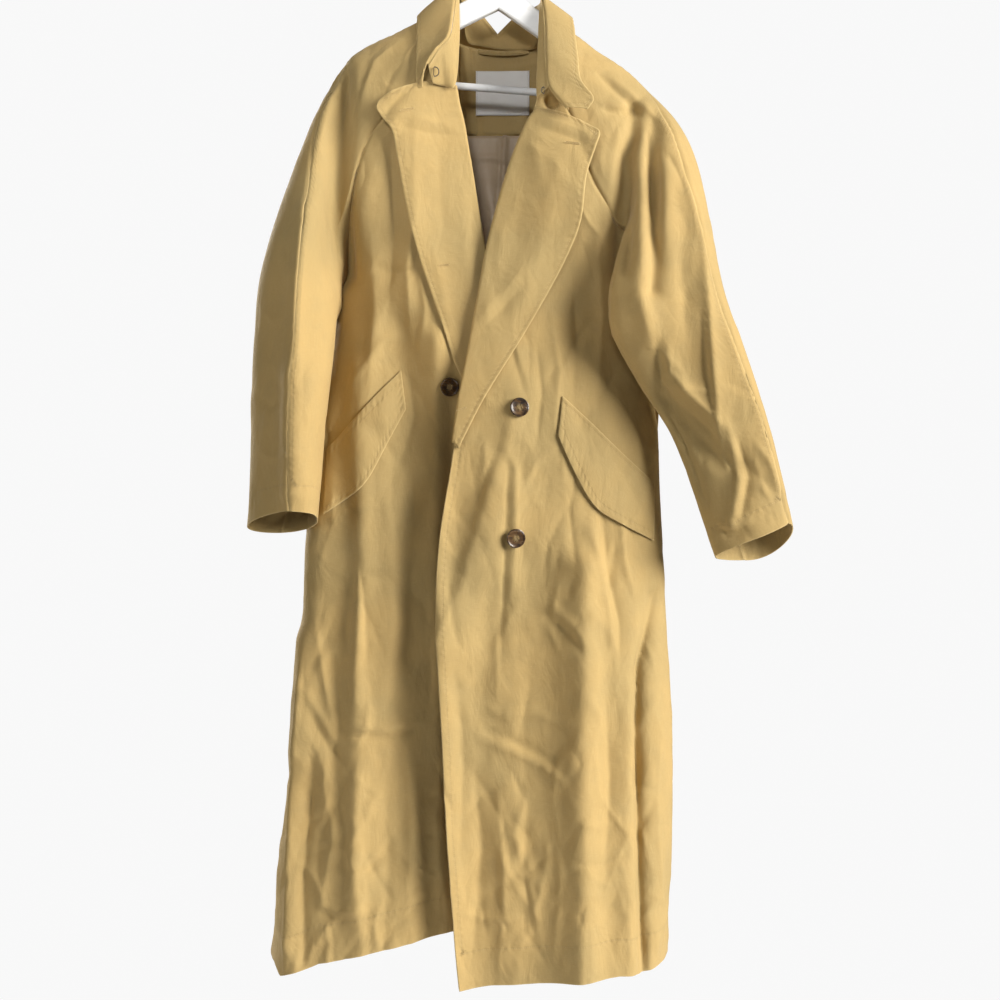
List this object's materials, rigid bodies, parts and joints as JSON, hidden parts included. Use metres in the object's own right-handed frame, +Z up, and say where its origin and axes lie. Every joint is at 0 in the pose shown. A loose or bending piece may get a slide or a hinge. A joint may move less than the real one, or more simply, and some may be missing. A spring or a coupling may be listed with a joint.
{
  "type": "trench coat on a hanger",
  "caption": "Long double-breasted raglan trench coat in mustard cotton, hanging open at the neck on a flat white hanger with a trouser bar",
  "frame": {"origin": "inside top of the crook of the hanger's hook, where it sits on a rail", "axes": "+Z up, the coat's fronts face -Y, the wearer's left front is at +X"},
  "size_m": [0.7161, 0.221, 1.3988],
  "materials": {
    "cotton": "matte cotton twill, softly creased",
    "lining": "satin viscose lining",
    "label": "plain white woven label",
    "hanger": "white satin paint on wood",
    "steel": "polished steel wire",
    "button": "polished horn look",
    "eyelet": "dark plated wire"
  },
  "bodies": {
    "root": {"right_front": "cotton", "left_front": "cotton", "back": "cotton", "right_sleeve_front": "cotton", "right_sleeve_back": "cotton", "left_sleeve_front": "cotton", "left_sleeve_back": "cotton", "right_lapel": "cotton", "left_lapel": "cotton", "right_pocket_flap": "cotton", "left_pocket_flap": "cotton", "collar_stand": "cotton", "collar_leaf": "cotton", "back_neck_facing": "cotton", "hanging_loop": "cotton", "back_lining": "lining", "neck_label": "label", "hanger_board": "hanger", "trouser_bar": "hanger", "hanger_hook": "steel", "button_left_front_upper": "button", "button_left_front_lower": "button", "button_right_front_upper": "button", "button_right_front_lower": "button", "collar_eye": "eyelet", "collar_hook": "eyelet"}
  },
  "joints": []
}
